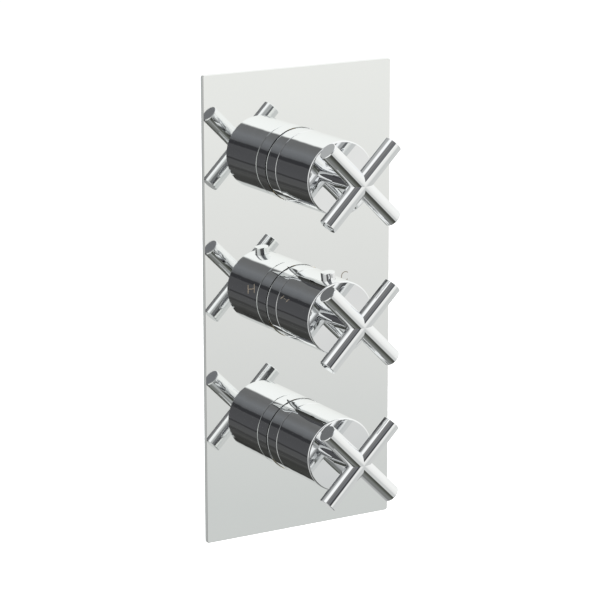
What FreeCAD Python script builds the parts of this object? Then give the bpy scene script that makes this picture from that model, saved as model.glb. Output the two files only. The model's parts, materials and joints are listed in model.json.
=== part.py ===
"""Concealed three-handle thermostatic shower valve.

A brass manifold is screwed into the wall cavity.  Three towers stand on it, one above the other: a
quarter-turn flow headwork at the top, the thermostatic cartridge in the middle and a second flow headwork at
the bottom.  Hot water enters on the left, cold on the right, both through a strainer and a check valve;
blended water leaves at the top and at the bottom.  Chrome sleeves pass through the flat cover plate, and a
turning barrel with a four-armed cross head sits in front of each sleeve.

Frame: +Z up, -Y towards the person using it, origin at the centre of the four wall-fixing holes, on the plane
that the manifold's feet bear on.  Most lengths are depths: millimetres in front of that plane, so y = -depth.
"""

import FreeCAD, Part

import math
import os

Vector = FreeCAD.Vector

# ---- Driving dimensions, in millimetres -----------------------------------------------------------------
# Cover plate and its place in the wall
RECESS_DEPTH = 60.0            # fixing plane to the face of the finished tile
PLATE_WIDTH = 135.0
PLATE_HEIGHT = 300.0
PLATE_THICKNESS = 2.5
PLATE_CORNER_RADIUS = 1.5
PLATE_EDGE_ROUND = 0.4
SEAL_THICKNESS = 1.5           # foam strip behind the plate
SEAL_WIDTH = 5.0
SEAL_INSET = 4.0               # plate's edge to the strip's edge
HANDLE_SPACING = 88.0          # between neighbouring handle axes

# Sleeve, barrel and cross head of every handle
BARREL_RADIUS = 23.5           # sleeve and barrel share this outside size
SLEEVE_WALL = 2.0
SLEEVE_SHOWN = 12.0            # sleeve's length in front of the plate
SLEEVE_OVERLAP = 8.0           # sleeve's length over the tower's collar
SLEEVE_SEAL_SECTION = 0.9      # rubber ring between sleeve and plate
SLEEVE_SEAL_PROUD = 0.15       # how far it stands out of the sleeve's groove
LIP_LENGTH = 4.0               # thin lip that reaches into the barrel's mouth
LIP_WALL = 1.3
SHADOW_GAP = 0.5               # between sleeve and turning barrel
PLATE_HOLE_CLEARANCE = 0.3     # radial, sleeve to plate
EDGE_BREAK = 0.25              # small chamfer on turned edges
BARREL_WALL = 2.2
BARREL_REACH = 51.5            # plate's front face to the barrel's front face
BARREL_FACE = 4.0              # thickness of the barrel's closed end
BARREL_ROUND = 1.0             # rounding of the barrel's front edge
BOSS_RADIUS = 11.6
BOSS_SOCKET_DEPTH = 18.0       # depth of the bush socket in the boss
BUSH_PLAY = 0.5                # bush's ends to the socket's ends
CROSS_REACH = 74.0             # plate's front face to the axes of the cross bars
CROSS_SPAN = 66.0              # tip to tip along one bar
BAR_RADIUS = 5.75
BAR_END_BREAK = 0.4
NECK_BASE_RADIUS = 6.6
NECK_TIP_RADIUS = 5.2
STUD_RADIUS = 4.0
STUD_LENGTH = 10.0
STUD_LEAD = 0.8                # chamfer on the stud's end
GRUB_RADIUS = 2.5
GRUB_LENGTH = 4.0
GRUB_KEY = 2.5                 # hexagon key, across flats

# Override button on the temperature handle
BUTTON_RADIUS = 4.5
BUTTON_TOP = 28.1              # handle axis to the button's outer face
BUTTON_REACH = 41.3            # plate's front face to the button's axis
BUTTON_TILT = 7.0              # degrees left of upright, seen from the front
BUTTON_TRAVEL = 2.5
BUTTON_ROUND = 0.5
BUTTON_FLANGE = 1.2
BUTTON_FLANGE_LAP = 1.0
BUTTON_FOOT_RADIUS = 2.5
FINGER_WIDTH = 3.0             # finger that reaches back from the button's foot to the stops
FINGER_HEIGHT = 1.3
FINGER_OVERLAP = 3.0           # finger's length beside the stop ribs
STOP_OUTER = 14.5              # outside radius of the stop sleeve
STOP_SETBACK = 2.5             # button flange's edge to the front of the stop sleeve
RIB_LENGTH = 6.0
RIB_WIDTH = 2.6
LEAF_THICKNESS = 0.4
LEAF_WIDTH = 7.0
LEAF_HALF_SPAN = 14.2
FLANGE_GAP = 0.15              # flange's rim to the barrel's wall at rest
TURN_TO_HOT = 62.0             # degrees from rest to each end of the temperature scale
TURN_TO_COLD = 74.0

# Manifold casting
GALLERY_DEPTH = 15.0           # depth of the vertical gallery's axis
GALLERY_RADIUS = 12.0
GALLERY_BORE = 7.0
FOOT_THICKNESS = 5.0
FOOT_HOLE_RADIUS = 2.75
FOOT_SPACING_X = 42.0
FOOT_SPACING_Z = 88.0
FOOT_END_RADIUS = 7.5
TOWER_BACK = 6.0
TOWER_BACK_CHAMFER = 2.0
TOWER_SHOULDER = 1.5           # length of the slope between tower and collar
COLLAR_LEAD = 1.0              # chamfer at the collar's front
COLLAR_LENGTH = 10.0           # threaded collar that carries a sleeve
FLOW_TOWER_RADIUS = 19.0
FLOW_TOWER_FRONT = 55.0
FLOW_THREAD_RADIUS = 12.0
FLOW_CHAMBER_RADIUS = 11.0
FLOW_CHAMBER_FRONT = 40.0
FLOW_SEAT_DEPTH = 26.0
FLOW_FEED_RADIUS = 6.0
OUTLET_DEPTH = 33.0
OUTLET_END = 34.0              # flow handle axis to the end of the outlet boss
TEMP_TOWER_RADIUS = 20.5
TEMP_TOWER_FRONT = 61.0
TEMP_BORE_RADIUS = 15.0
TEMP_BORE_BACK = 24.0
TEMP_FEED_RADIUS = 6.5         # bore from the cartridge to the gallery
INLET_DEPTH = 39.0
INLET_END = 45.0               # temperature axis to the end of the inlet boss
HOT_RING_DEPTH = 45.0
COLD_RING_DEPTH = 33.0
RING_LENGTH = 6.0
RING_EXTRA = 2.5
PASSAGE_RADIUS = 2.9

# Ports, strainers and check valves, measured inwards from the end of a boss
PORT_RADIUS = 9.35             # half-inch pipe thread, bored to its core size
PORT_LENGTH = 12.0
BOSS_WALL = 4.0
STRAINER_RADIUS = 8.7
STRAINER_SEAT = 1.2
STRAINER_THICKNESS = 0.8
STRAINER_HOLE_RADIUS = 0.6
STRAINER_PITCH = 1.9
CHECK_RADIUS = 8.0
CHECK_LENGTH = 11.4
CHECK_WALL = 1.4
CHECK_SEAT_LENGTH = 2.0
CHECK_SEAT_RADIUS = 4.8
CHECK_SPOKE_LENGTH = 2.0
CHECK_HUB_LENGTH = 3.5
CHECK_HUB_WALL = 1.0
CHECK_SPOKE_WIDTH = 1.4
CHECK_POCKET_PLAY = 1.0        # behind the cage
CHECK_SPRING_RADIUS = 3.6
CHECK_SPRING_WIRE = 0.3
CHECK_SPRING_TURNS = 3
CHECK_STEM_RADIUS = 1.5
CHECK_TRAVEL = 2.0
POPPET_RADIUS = 6.0
POPPET_THICKNESS = 1.9
POPPET_NOSE_LENGTH = 1.5
POPPET_NOSE_PLAY = 0.4

# Headwork and cartridge
SPINDLE_RADIUS = 5.0
SPLINE_RADIUS = 4.2
SPLINE_DEPTH = 0.4
SPLINE_TEETH = 20
SPINDLE_SHOWN = 16.0           # flow spindle's length in front of its bonnet
SPINDLE_STEM_SHOWN = 4.0       # plain part of that length
DRIVER_THICKNESS = 3.3         # spindle's flange behind the turning disc
DRIVER_PASSAGE = 9.0           # width of the water passage through the flange
DRIVER_CORE_RADIUS = 4.8
DRIVER_PLATE = 0.8             # flange's part that stays whole
CIRCLIP_THICKNESS = 1.0
CIRCLIP_WIDTH = 1.6
CIRCLIP_GROOVE = 0.8
CIRCLIP_PLAY = 0.1
CIRCLIP_GAP = 3.0
STEM_SEAL_SECTION = 0.72
STEM_SEAL_GROOVE = 1.44        # groove's depth in the stem
STEM_SEAL_SEAT = 0.675         # stem's surface to the middle of the seal's section
SPINDLE_SEALS = (46.0, 50.0)   # depths of the flow spindles' seals
DISC_RADIUS = 8.7
DISC_HUB_RADIUS = 1.8
DISC_RIM = 2.2
DISC_THICKNESS = 3.0
PORT_ANGLE = 76.0              # opening of each quarter port in the ceramic discs
SEAT_THICKNESS = 2.5
BONNET_HEX = 27.0
BONNET_HEX_LENGTH = 6.0
BONNET_NECK_RADIUS = 9.5
BONNET_NOSE_WALL = 1.1
BONNET_NOSE_STANDOFF = 1.0     # nose's end to the seat
BONNET_WINDOW_HEIGHT = 8.0
BONNET_WINDOW_INSET = 0.6
BONNET_SEAL_SECTION = 0.75
BONNET_FRONT = 66.0
EXTENSION_RADIUS = 6.5
EXTENSION_SOCKET = 7.5         # length of the spindle's teeth inside the extension
EXTENSION_GAP = 2.0            # extension's body to the boss
SPLINE_GRIP = 12.0             # length of the extension's teeth inside the boss
BUSH_RADIUS = 7.5
CARTRIDGE_HEX = 34.0
CARTRIDGE_FRONT = 71.0
CARTRIDGE_HEX_LENGTH = 5.0
CARTRIDGE_NECK_RADIUS = 12.0
CARTRIDGE_BORE = 12.0
CARTRIDGE_WINDOW = 9.0
CARTRIDGE_SEALS = (28.0, 39.0, 50.5)
CARTRIDGE_SEAL_SECTION = 0.8
CARTRIDGE_SEAL_GROOVE = 2.2    # groove's length along the axis
TEMP_SPINDLE_SHOWN = 11.0      # temperature spindle's length in front of the housing
TEMP_STEM_SHOWN = 2.0
TEMP_SEAL_SETBACK = 2.0        # housing's front to the spindle seal
THRUST_BACK = 61.6
THRUST_RADIUS = 7.0
THRUST_LENGTH = 2.2
SLIDER_HEX = 17.0
SLIDER_BACK, SLIDER_FRONT = 52.0, 59.0
SLIDER_CUP_DEPTH = 3.0
ADJUSTER_RADIUS = 4.0          # threaded end of the temperature spindle
ADJUSTER_STANDOFF = 0.4        # its end to the floor of the slider's cup
OVERLOAD_RADIUS = 4.6          # mean radius of the overload spring
OVERLOAD_WIRE = 0.35
OVERLOAD_TURNS = 3
RETURN_RADIUS = 8.4
RETURN_WIRE = 0.8
RETURN_TURNS = 3.5
SPRING_SEAT_THICKNESS = 2.0
SPRING_SEAT_BORE = 7.0
WAX_RADIUS = 4.5
WAX_STANDOFF = 2.0             # capsule's end to the spring seat's front
WAX_END_CHAMFER = 0.8
WAX_RIM = 1.5                  # capsule's rim past its body
WAX_RIM_LENGTH = 2.0
WAX_STEM_STEP = 1.0            # stem is this much thinner than the body
WAX_STEM_LENGTH = 6.0
WAX_PIN_RADIUS = 1.75
PIN_HEAD_SETBACK = 2.5         # pin head's back to the slider's back
PIN_HEAD_THICKNESS = 1.3
SHUTTLE_LENGTH = 5.4
SHUTTLE_WALL = 2.0
SHUTTLE_SPOKE = 2.5
SHUTTLE_SPOKE_INSET = 1.0
WAX_TRAVEL = 1.0               # how far the capsule can come in over its pin, past rest
KEY_LENGTH, KEY_WIDTH, KEY_DEPTH = 6.0, 2.4, 1.0
DISC_FILM = 0.01               # between the two ceramic discs
RUNNING = 0.05                 # radial clearance of a turned fit
LOOSE = 0.3                    # clearance between parts that pass each other

# ---- Sizes that follow ---------------------------------------------------------------------------------
PLATE_BACK = RECESS_DEPTH + SEAL_THICKNESS
PLATE_FRONT = PLATE_BACK + PLATE_THICKNESS
SLEEVE_FRONT = PLATE_FRONT + SLEEVE_SHOWN
BARREL_BACK = SLEEVE_FRONT + SHADOW_GAP
BARREL_FRONT = PLATE_FRONT + BARREL_REACH
CROSS_DEPTH = PLATE_FRONT + CROSS_REACH
SLEEVE_BORE = BARREL_RADIUS - SLEEVE_WALL
SLEEVE_SEAL_RADIUS = BARREL_RADIUS - SLEEVE_SEAL_SECTION + SLEEVE_SEAL_PROUD
SLEEVE_SEAL_DEPTH = PLATE_BACK + SLEEVE_SEAL_SECTION + RUNNING
BARREL_BORE = BARREL_RADIUS - BARREL_WALL
COLLAR_RADIUS = SLEEVE_BORE - RUNNING
SOCKET_FRONT = BARREL_FRONT - STUD_LENGTH
BOSS_BACK = SOCKET_FRONT - BOSS_SOCKET_DEPTH
GRUB_DEPTH = BOSS_BACK + BOSS_SOCKET_DEPTH / 2
BUTTON_DEPTH = PLATE_FRONT + BUTTON_REACH
HANDLES = {"top": HANDLE_SPACING, "middle": 0.0, "bottom": -HANDLE_SPACING}


# ---- Shapes along the handle axes (depth), across (x) and upright (z) ----------------------------------
def rod(radius, start, end, z=0.0, x=0.0):
    """A cylinder on a handle axis, between two depths."""
    return Part.makeCylinder(radius, end - start, Vector(x, -start, z), Vector(0, -1, 0))


def ring(outer, inner, start, end, z=0.0, x=0.0):
    """A plain ring on a handle axis."""
    return rod(outer, start, end, z, x).cut(rod(inner, start - 1, end + 1, z, x))


def block(x_size, start, end, z_size, z=0.0, x=0.0):
    """A box centred on x and z, between two depths."""
    return Part.makeBox(x_size, end - start, z_size, Vector(x - x_size / 2, -end, z - z_size / 2))


def turned(profile, z=0.0):
    """Turns a closed outline of (radius, depth) points about a handle axis."""
    points = [Vector(radius, -depth, z) for radius, depth in profile]
    face = Part.Face(Part.makePolygon(points + points[:1]))
    return face.revolve(Vector(0, 0, z), Vector(0, 1, 0), 360)


def upright_rod(radius, start, end, depth, x=0.0):
    return Part.makeCylinder(radius, end - start, Vector(x, -depth, start), Vector(0, 0, 1))


def prism(corners, start, end):
    """Extrudes (x, z) corners between two depths."""
    points = [Vector(x, -start, z) for x, z in corners]
    face = Part.Face(Part.makePolygon(points + points[:1]))
    return face.extrude(Vector(0, start - end, 0))


def hexagon(across_flats, start, end, z=0.0):
    corner = across_flats / math.sqrt(3)
    angles = [math.radians(60 * i) for i in range(6)]
    return prism([(corner * math.cos(a), z + corner * math.sin(a)) for a in angles], start, end)


def splines(radius, start, end, z):
    """A toothed shaft end: straight-sided teeth between two radii."""
    corners = []
    for i in range(2 * SPLINE_TEETH):
        reach = radius if i % 2 == 0 else radius - SPLINE_DEPTH
        angle = math.pi * i / SPLINE_TEETH
        corners.append((reach * math.cos(angle), z + reach * math.sin(angle)))
    return prism(corners, start, end)


def coil(mean_radius, wire_radius, length, turns):
    """A helical spring on +Z, from 0 to its length, as one wire."""
    height = length - 2 * wire_radius
    path = Part.makeHelix(height / turns, height, mean_radius)
    path.translate(Vector(0, 0, wire_radius))
    start = Vector(mean_radius, 0, wire_radius)
    heading = Vector(0, 2 * math.pi * mean_radius, height / turns)
    section = Part.Wire(Part.makeCircle(wire_radius, start, heading))
    return Part.Wire(path).makePipeShell([section], True, True)


def along(shape, direction, start):
    """Moves a shape built on +Z so that it runs along a direction from a point."""
    move = FreeCAD.Placement(start, FreeCAD.Rotation(Vector(0, 0, 1), direction))
    shape.Placement = move.multiply(shape.Placement)
    return shape


def o_ring(seat_radius, section_radius, depth, z):
    """A round seal that hugs a shaft or a bore on a handle axis."""
    return Part.makeTorus(seat_radius, section_radius, Vector(0, -depth, z), Vector(0, 1, 0))


def joined(shapes):
    return shapes[0].multiFuse(shapes[1:]).removeSplitter() if len(shapes) > 1 else shapes[0]


# ---- Cover plate ---------------------------------------------------------------------------------------
def face_plate():
    plate = block(PLATE_WIDTH, PLATE_BACK, PLATE_FRONT, PLATE_HEIGHT)
    corners = [e for e in plate.Edges if abs(e.tangentAt(e.FirstParameter).y) > 0.9]
    plate = plate.makeFillet(PLATE_CORNER_RADIUS, corners)
    rim = [e for e in plate.Edges if all(abs(v.Y + PLATE_FRONT) < 1e-6 for v in e.Vertexes)]
    plate = plate.makeFillet(PLATE_EDGE_ROUND, rim)
    hole = BARREL_RADIUS + PLATE_HOLE_CLEARANCE
    for z in HANDLES.values():
        plate = plate.cut(rod(hole, PLATE_BACK - 1, PLATE_FRONT + 1, z))
        lead_in = [(0, PLATE_FRONT - EDGE_BREAK), (hole, PLATE_FRONT - EDGE_BREAK),
                   (hole + EDGE_BREAK + 1, PLATE_FRONT + 1), (0, PLATE_FRONT + 1)]
        plate = plate.cut(turned(lead_in, z))
    return plate


def plate_seal():
    width, height = PLATE_WIDTH - 2 * SEAL_INSET, PLATE_HEIGHT - 2 * SEAL_INSET
    strip = block(width, RECESS_DEPTH, PLATE_BACK, height)
    window = block(width - 2 * SEAL_WIDTH, RECESS_DEPTH - 1, PLATE_BACK + 1, height - 2 * SEAL_WIDTH)
    return strip.cut(window)


def sleeve_o_rings():
    """Rubber rings in the sleeves' grooves, which grip the plate's holes."""
    return Part.Compound([o_ring(SLEEVE_SEAL_RADIUS, SLEEVE_SEAL_SECTION, SLEEVE_SEAL_DEPTH, z)
                          for z in HANDLES.values()])


# ---- Handle pieces, the same for all three -------------------------------------------------------------
def sleeve(tower_front, z):
    """Fixed chrome sleeve: screwed over the tower's collar, with a lip inside the barrel's mouth."""
    back = tower_front - SLEEVE_OVERLAP
    lip_outer = BARREL_BORE - LOOSE
    lip_inner = lip_outer - LIP_WALL
    outline = [(SLEEVE_BORE, back), (BARREL_RADIUS - EDGE_BREAK, back),
               (BARREL_RADIUS, back + EDGE_BREAK),
               (BARREL_RADIUS, SLEEVE_FRONT - EDGE_BREAK), (BARREL_RADIUS - EDGE_BREAK, SLEEVE_FRONT),
               (lip_outer, SLEEVE_FRONT), (lip_outer, SLEEVE_FRONT + LIP_LENGTH),
               (lip_inner, SLEEVE_FRONT + LIP_LENGTH), (lip_inner, SLEEVE_FRONT - LIP_WALL),
               (SLEEVE_BORE, SLEEVE_FRONT - LIP_WALL)]
    body = turned(outline, z)
    section = SLEEVE_SEAL_SECTION + RUNNING
    return body.cut(o_ring(SLEEVE_SEAL_RADIUS, section, SLEEVE_SEAL_DEPTH, z))


def barrel(z, with_button=False):
    """Turning barrel: a cup with a boss inside that holds the splined bush and the cross head's stud."""
    face_back = BARREL_FRONT - BARREL_FACE
    shell = turned([(0, BARREL_FRONT), (BARREL_RADIUS, BARREL_FRONT),
                    (BARREL_RADIUS, BARREL_BACK + EDGE_BREAK), (BARREL_RADIUS - EDGE_BREAK, BARREL_BACK),
                    (BARREL_BORE, BARREL_BACK), (BARREL_BORE, face_back),
                    (BOSS_RADIUS, face_back), (BOSS_RADIUS, BOSS_BACK), (0, BOSS_BACK)], z)
    front_edges = [e for e in shell.Edges if abs(e.BoundBox.YMax + BARREL_FRONT) < 1e-6]
    rim = max(front_edges, key=lambda e: e.Length)
    shell = shell.makeFillet(BARREL_ROUND, [rim])
    shell = shell.cut(rod(BUSH_RADIUS + RUNNING, BOSS_BACK - 1, SOCKET_FRONT, z))
    shell = shell.cut(rod(STUD_RADIUS + RUNNING, SOCKET_FRONT - 1, BARREL_FRONT + 1, z))
    shell = shell.cut(upright_rod(GRUB_RADIUS + RUNNING, z - BARREL_RADIUS - 1, z, GRUB_DEPTH))
    if with_button:
        hole = upright_rod(BUTTON_RADIUS + 2 * RUNNING, BOSS_RADIUS + 1, BARREL_RADIUS + 1, BUTTON_DEPTH)
        shell = shell.cut(tilted(hole, z))
    return shell


def grub_screw(z):
    """Socket set screw under the barrel, which clamps the boss on the bush."""
    tip = BUSH_RADIUS + RUNNING
    screw = upright_rod(GRUB_RADIUS, z - tip - GRUB_LENGTH, z - tip, GRUB_DEPTH)
    corner = GRUB_KEY / math.sqrt(3)
    key = along(Part.Face(Part.makePolygon([Vector(corner * math.cos(math.radians(60 * i)),
                                                   corner * math.sin(math.radians(60 * i)), 0)
                                            for i in range(7)])).extrude(Vector(0, 0, GRUB_LENGTH / 2)),
                Vector(0, 0, 1), Vector(0, -GRUB_DEPTH, z - tip - GRUB_LENGTH))
    return screw.cut(key)


def cross_head(z):
    """Two crossed bars at 45 degrees, a tapered neck behind them and the stud that holds it in the barrel."""
    half = CROSS_SPAN / 2
    bars = []
    for angle in (45, 135):
        bar = Part.makeCylinder(BAR_RADIUS, CROSS_SPAN, Vector(0, 0, -half))
        bar = bar.makeChamfer(BAR_END_BREAK, [e for e in bar.Edges if e.Curve.TypeId == "Part::GeomCircle"])
        bar.Placement = FreeCAD.Placement(Vector(0, -CROSS_DEPTH, z),
                                          FreeCAD.Rotation(Vector(0, 1, 0), angle))
        bars.append(bar)
    neck = turned([(0, BARREL_FRONT), (NECK_BASE_RADIUS, BARREL_FRONT),
                   (NECK_TIP_RADIUS, CROSS_DEPTH - BAR_RADIUS / 2),
                   (NECK_TIP_RADIUS, CROSS_DEPTH), (0, CROSS_DEPTH)], z)
    stud = turned([(0, SOCKET_FRONT), (STUD_RADIUS - STUD_LEAD, SOCKET_FRONT),
                   (STUD_RADIUS, SOCKET_FRONT + STUD_LEAD), (STUD_RADIUS, BARREL_FRONT + 1),
                   (0, BARREL_FRONT + 1)], z)
    return joined(bars + [neck, stud])


def spline_bush(z, spline_end):
    """Plastic bush pressed in the boss, with a toothed socket for the extension."""
    back = BOSS_BACK + BUSH_PLAY
    bush = rod(BUSH_RADIUS, back, SOCKET_FRONT - BUSH_PLAY, z)
    return bush.cut(splines(SPLINE_RADIUS + RUNNING, back - 1, spline_end + LOOSE, z))


def extension(z, spindle_tip, spline_end):
    """Brass rod that carries the spindle's turn out to the barrel: toothed socket behind, teeth in front."""
    socket = spindle_tip - EXTENSION_SOCKET
    body = rod(EXTENSION_RADIUS, socket, BOSS_BACK - EXTENSION_GAP, z)
    body = body.cut(splines(SPLINE_RADIUS + RUNNING, socket - 1, spindle_tip + LOOSE, z))
    teeth = splines(SPLINE_RADIUS, BOSS_BACK - EXTENSION_GAP - 1, spline_end, z)
    return body.fuse(teeth).removeSplitter()


# ---- Flow headwork, top and bottom ---------------------------------------------------------------------
SEAT_FRONT = FLOW_SEAT_DEPTH + SEAT_THICKNESS
FIXED_DISC_FRONT = SEAT_FRONT + DISC_THICKNESS
TURNING_DISC_FRONT = FIXED_DISC_FRONT + DISC_THICKNESS
DRIVER_FRONT = TURNING_DISC_FRONT + DRIVER_THICKNESS
SPINDLE_TIP = BONNET_FRONT + SPINDLE_SHOWN
SPLINE_END = BOSS_BACK + SPLINE_GRIP
CIRCLIP_BACK = BONNET_FRONT + CIRCLIP_PLAY


def bonnet(z):
    """Brass headwork body: windowed nose, thread, hexagon and a neck for the spindle."""
    nose_radius = DISC_RADIUS + BONNET_NOSE_WALL
    body = joined([rod(nose_radius, FLOW_SEAT_DEPTH + BONNET_NOSE_STANDOFF, FLOW_CHAMBER_FRONT, z),
                   rod(FLOW_THREAD_RADIUS - RUNNING, FLOW_CHAMBER_FRONT, FLOW_TOWER_FRONT, z),
                   hexagon(BONNET_HEX, FLOW_TOWER_FRONT, FLOW_TOWER_FRONT + BONNET_HEX_LENGTH, z),
                   rod(BONNET_NECK_RADIUS, FLOW_TOWER_FRONT + 1, BONNET_FRONT, z)])
    body = body.cut(rod(DISC_RADIUS + RUNNING, FLOW_SEAT_DEPTH, DRIVER_FRONT + LOOSE, z))
    body = body.cut(rod(SPINDLE_RADIUS + RUNNING, DRIVER_FRONT, BONNET_FRONT + 1, z))
    window = block(2 * nose_radius + 2, FIXED_DISC_FRONT + BONNET_WINDOW_INSET,
                   DRIVER_FRONT - DRIVER_PLATE, BONNET_WINDOW_HEIGHT, z)
    seal_start = FLOW_CHAMBER_FRONT - 2 * (BONNET_SEAL_SECTION + RUNNING)
    groove_floor = FLOW_CHAMBER_RADIUS - 2 * BONNET_SEAL_SECTION
    groove = ring(nose_radius + 1, groove_floor, seal_start, FLOW_CHAMBER_FRONT, z)
    return body.cut(window).cut(groove)


def bonnet_o_rings():
    """Seals between the bonnets' noses and the bores of the flow towers."""
    depth = FLOW_CHAMBER_FRONT - BONNET_SEAL_SECTION
    return Part.Compound([o_ring(FLOW_CHAMBER_RADIUS - BONNET_SEAL_SECTION, BONNET_SEAL_SECTION, depth, z)
                          for z in (HANDLE_SPACING, -HANDLE_SPACING)])


def seat_seal(z):
    """Rubber seat between the manifold's feed port and the fixed disc."""
    return ring(DISC_RADIUS - RUNNING, FLOW_FEED_RADIUS, FLOW_SEAT_DEPTH, SEAT_FRONT, z)


def ceramic_disc(start, end, z, radius):
    """Ceramic disc with two opposite quarter openings."""
    disc = rod(radius, start, end, z)
    port = rod(radius - DISC_RIM, start - 1, end + 1, z).cut(rod(DISC_HUB_RADIUS, start - 2, end + 2, z))
    half = radius * math.tan(math.radians(PORT_ANGLE / 2))
    right = prism([(0, z), (radius, z - half), (radius, z + half)], start - 1, end + 1)
    left = prism([(0, z), (-radius, z + half), (-radius, z - half)], start - 1, end + 1)
    return disc.cut(port.common(right)).cut(port.common(left))


def turning_disc(z):
    """Front disc, with a slot for the spindle's key."""
    disc = ceramic_disc(FIXED_DISC_FRONT + DISC_FILM, TURNING_DISC_FRONT, z, DISC_RADIUS - RUNNING)
    slot_start = TURNING_DISC_FRONT - KEY_DEPTH - 2 * RUNNING
    slot = block(KEY_WIDTH + 2 * RUNNING, slot_start, TURNING_DISC_FRONT + 1, KEY_LENGTH + 2 * RUNNING, z)
    return disc.cut(slot)


def flow_spindle(z):
    """Spindle: driver flange cut away on two sides for the water, key, stem with grooves, toothed tip."""
    parts = [rod(DISC_RADIUS - LOOSE, TURNING_DISC_FRONT + RUNNING, DRIVER_FRONT, z),
             rod(SPINDLE_RADIUS, DRIVER_FRONT - DRIVER_PLATE, BONNET_FRONT + SPINDLE_STEM_SHOWN, z),
             splines(SPLINE_RADIUS, BONNET_FRONT + SPINDLE_STEM_SHOWN - 1, SPINDLE_TIP, z)]
    spindle = joined(parts)
    passage = block(2 * DISC_RADIUS, TURNING_DISC_FRONT - 1, DRIVER_FRONT - DRIVER_PLATE, DRIVER_PASSAGE, z)
    core = rod(DRIVER_CORE_RADIUS, TURNING_DISC_FRONT - 2, DRIVER_FRONT + 2, z)
    spindle = spindle.cut(passage.cut(core))
    key = block(KEY_WIDTH, TURNING_DISC_FRONT - KEY_DEPTH, TURNING_DISC_FRONT + 1, KEY_LENGTH, z)
    spindle = spindle.fuse(key)
    clip_end = CIRCLIP_BACK + CIRCLIP_THICKNESS + CIRCLIP_PLAY
    clip_floor = SPINDLE_RADIUS - CIRCLIP_GROOVE
    spindle = spindle.cut(ring(SPINDLE_RADIUS + 1, clip_floor, CIRCLIP_BACK, clip_end, z))
    for depth in SPINDLE_SEALS:
        spindle = spindle.cut(stem_groove(depth, z))
    return spindle


def stem_groove(depth, z=0.0):
    """What is turned out of a spindle's stem for one seal."""
    half = STEM_SEAL_SECTION + 4 * RUNNING
    return ring(SPINDLE_RADIUS + 1, SPINDLE_RADIUS - STEM_SEAL_GROOVE, depth - half, depth + half, z)


def stem_seal(depth, z=0.0):
    """A seal in a spindle's groove, a sliding fit in the bore."""
    return o_ring(SPINDLE_RADIUS - STEM_SEAL_SEAT, STEM_SEAL_SECTION, depth, z)


def spindle_o_rings(z):
    return Part.Compound([stem_seal(depth, z) for depth in SPINDLE_SEALS])


def circlip(z):
    """Spring clip in the stem's groove, in front of the bonnet."""
    start = CIRCLIP_BACK + CIRCLIP_PLAY / 2
    end = start + CIRCLIP_THICKNESS
    clip = ring(SPINDLE_RADIUS + CIRCLIP_WIDTH, SPINDLE_RADIUS - CIRCLIP_GROOVE + RUNNING, start, end, z)
    return clip.cut(block(CIRCLIP_GAP, start - 1, end + 1, 2 * SPINDLE_RADIUS, z - SPINDLE_RADIUS - 1))


# ---- Thermostatic cartridge ----------------------------------------------------------------------------
SHUTTLE_BACK = (HOT_RING_DEPTH + COLD_RING_DEPTH - SHUTTLE_LENGTH) / 2
SHUTTLE_FRONT = SHUTTLE_BACK + SHUTTLE_LENGTH
SPRING_SEAT_FRONT = TEMP_BORE_BACK + SPRING_SEAT_THICKNESS
TEMP_SPINDLE_TIP = CARTRIDGE_FRONT + TEMP_SPINDLE_SHOWN
TEMP_SEAL_DEPTH = CARTRIDGE_FRONT - TEMP_SEAL_SETBACK
WAX_BACK = SPRING_SEAT_FRONT + WAX_STANDOFF
WAX_FRONT = SHUTTLE_FRONT + WAX_STEM_LENGTH
PIN_BACK = SHUTTLE_BACK
PIN_HEAD_BACK = SLIDER_BACK - PIN_HEAD_SETBACK
PIN_HEAD_FRONT = PIN_HEAD_BACK + PIN_HEAD_THICKNESS


def cartridge_housing():
    """Brass sleeve with a hot and a cold row of windows, three seal grooves, a hexagon and a neck."""
    body = joined([rod(TEMP_BORE_RADIUS - RUNNING, TEMP_BORE_BACK, TEMP_TOWER_FRONT),
                   hexagon(CARTRIDGE_HEX, TEMP_TOWER_FRONT, TEMP_TOWER_FRONT + CARTRIDGE_HEX_LENGTH),
                   rod(CARTRIDGE_NECK_RADIUS, TEMP_TOWER_FRONT + 1, CARTRIDGE_FRONT)])
    body = body.cut(rod(CARTRIDGE_BORE, TEMP_BORE_BACK - 1, PIN_HEAD_BACK))
    body = body.cut(hexagon(SLIDER_HEX + 2 * RUNNING, PIN_HEAD_BACK - 1, THRUST_BACK))
    thrust_end = THRUST_BACK + THRUST_LENGTH + LOOSE
    body = body.cut(rod(THRUST_RADIUS + LOOSE, THRUST_BACK - 1, thrust_end))
    body = body.cut(rod(SPINDLE_RADIUS + RUNNING, THRUST_BACK, CARTRIDGE_FRONT + 1))
    for depth in (HOT_RING_DEPTH, COLD_RING_DEPTH):
        start, end = depth - RING_LENGTH / 2, depth + RING_LENGTH / 2
        body = body.cut(block(2 * TEMP_BORE_RADIUS + 2, start, end, CARTRIDGE_WINDOW))
        body = body.cut(block(CARTRIDGE_WINDOW, start, end, 2 * TEMP_BORE_RADIUS + 2))
    for depth in CARTRIDGE_SEALS:
        groove_floor = TEMP_BORE_RADIUS - 2 * CARTRIDGE_SEAL_SECTION - RUNNING
        groove_back = depth - CARTRIDGE_SEAL_GROOVE / 2
        body = body.cut(ring(TEMP_BORE_RADIUS + 1, groove_floor, groove_back,
                             groove_back + CARTRIDGE_SEAL_GROOVE))
    return body


def cartridge_o_rings():
    section = CARTRIDGE_SEAL_SECTION
    mean = TEMP_BORE_RADIUS - section
    return Part.Compound([o_ring(mean, section, depth, 0.0) for depth in CARTRIDGE_SEALS])


def spring_seat():
    """Ring screwed in the back of the housing, on which the return spring stands."""
    return ring(CARTRIDGE_BORE - RUNNING, SPRING_SEAT_BORE, TEMP_BORE_BACK, SPRING_SEAT_FRONT)


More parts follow.
